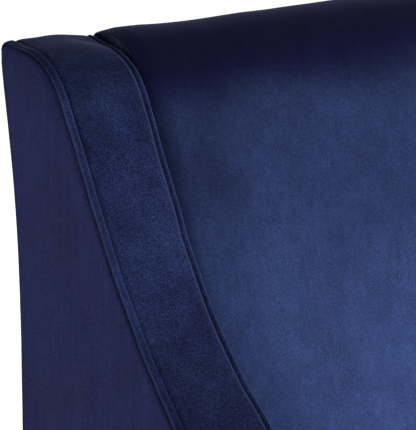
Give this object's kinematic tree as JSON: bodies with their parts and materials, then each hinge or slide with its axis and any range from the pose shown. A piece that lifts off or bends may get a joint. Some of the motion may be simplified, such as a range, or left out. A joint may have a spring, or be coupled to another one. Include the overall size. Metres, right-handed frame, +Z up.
{
  "type": "swivel glider chair",
  "caption": "Upholstered swivel glider nursery chair with swoop arms, tight back, seat cushion and a round swivel base.",
  "frame": {"origin": "on the floor, under the swivel axis, at the middle of the chair's width and depth", "axes": "+Z up along the swivel axis; -Y is the way the sitter faces; +X is the sitter's left"},
  "size_m": [0.73, 0.801, 1.006],
  "materials": {
    "velvet": "matte",
    "lining": "matte",
    "webbing": "matte",
    "beech": "matte",
    "plywood": "matte",
    "black_steel": "satin",
    "zinc_steel": "satin",
    "nylon": "satin"
  },
  "bodies": {
    "base": {"base_ring": "black_steel", "base_spokes": "black_steel", "floor_glide_1": "nylon", "floor_glide_2": "nylon", "floor_glide_3": "nylon", "floor_glide_4": "nylon", "swivel_lower_plate": "zinc_steel", "swivel_pin": "zinc_steel", "swivel_lock_nut": "zinc_steel"},
    "ball_cage": {"swivel_ball_cage": "zinc_steel"},
    "turntable": {"swivel_upper_plate": "zinc_steel", "glider_platform": "black_steel", "hanger_left": "black_steel", "hanger_right": "black_steel", "upper_pin_front_left": "zinc_steel", "upper_pin_front_right": "zinc_steel", "upper_pin_rear_left": "zinc_steel", "upper_pin_rear_right": "zinc_steel"},
    "link_front_left": {"glide_link_front_left": "black_steel"},
    "link_front_right": {"glide_link_front_right": "black_steel"},
    "link_rear_left": {"glide_link_rear_left": "black_steel"},
    "link_rear_right": {"glide_link_rear_right": "black_steel"},
    "seat": {"arm_band_left": "velvet", "arm_band_right": "velvet", "back_lower_rail": "beech", "back_pad": "velvet", "back_top_rail": "beech", "back_webbing_1": "webbing", "back_webbing_2": "webbing", "back_webbing_3": "webbing", "dust_cover": "lining", "front_border": "velvet", "front_seat_rail": "beech", "glide_rail_left": "black_steel", "glide_rail_right": "black_steel", "inner_arm_pad_left": "velvet", "inner_arm_pad_right": "velvet", "lower_pin_front_left": "zinc_steel", "lower_pin_front_right": "zinc_steel", "lower_pin_rear_left": "zinc_steel", "lower_pin_rear_right": "zinc_steel", "mounting_board_front": "plywood", "mounting_board_rear": "plywood", "mounting_bolt_front_left": "zinc_steel", "mounting_bolt_front_right": "zinc_steel", "mounting_bolt_rear_left": "zinc_steel", "mounting_bolt_rear_right": "zinc_steel", "outer_side_panel_left": "velvet", "outer_side_panel_right": "velvet", "outside_back": "velvet", "rear_seat_rail": "beech", "seat_cushion": "velvet", "seat_deck": "lining", "seat_spring_1": "zinc_steel", "seat_spring_2": "zinc_steel", "seat_spring_3": "zinc_steel", "seat_spring_4": "zinc_steel", "seat_spring_5": "zinc_steel", "side_frame_left": "plywood", "side_frame_right": "plywood"}
  },
  "joints": [
    {"name": "swivel", "type": "hinge", "parent": "base", "child": "turntable", "pos_m": [0, 0, 0.0423], "axis": [0, 0, 1], "continuous": true},
    {"name": "ball_cage_turn", "type": "hinge", "parent": "base", "child": "ball_cage", "pos_m": [0, 0, 0.0383], "axis": [0, 0, 1], "continuous": true},
    {"name": "glide", "type": "hinge", "parent": "turntable", "child": "link_front_left", "pos_m": [0.174, -0.11, 0.143], "axis": [1, 0, 0], "range_deg": [-32, 32]},
    {"name": "seat_level", "type": "hinge", "parent": "link_front_left", "child": "seat", "pos_m": [0.174, -0.11, 0.058], "axis": [1, 0, 0], "range_deg": [-32, 32]},
    {"name": "link_front_right_swing", "type": "hinge", "parent": "turntable", "child": "link_front_right", "pos_m": [-0.174, -0.11, 0.143], "axis": [1, 0, 0], "range_deg": [-32, 32]},
    {"name": "link_rear_left_swing", "type": "hinge", "parent": "turntable", "child": "link_rear_left", "pos_m": [0.174, 0.11, 0.143], "axis": [1, 0, 0], "range_deg": [-32, 32]},
    {"name": "link_rear_right_swing", "type": "hinge", "parent": "turntable", "child": "link_rear_right", "pos_m": [-0.174, 0.11, 0.143], "axis": [1, 0, 0], "range_deg": [-32, 32]}
  ],
  "couplings": [
    {"joint": "ball_cage_turn", "follows": "swivel", "ratio": 0.5},
    {"joint": "seat_level", "follows": "glide", "ratio": -1},
    {"joint": "link_front_right_swing", "follows": "glide", "ratio": 1},
    {"joint": "link_rear_left_swing", "follows": "glide", "ratio": 1},
    {"joint": "link_rear_right_swing", "follows": "glide", "ratio": 1}
  ]
}
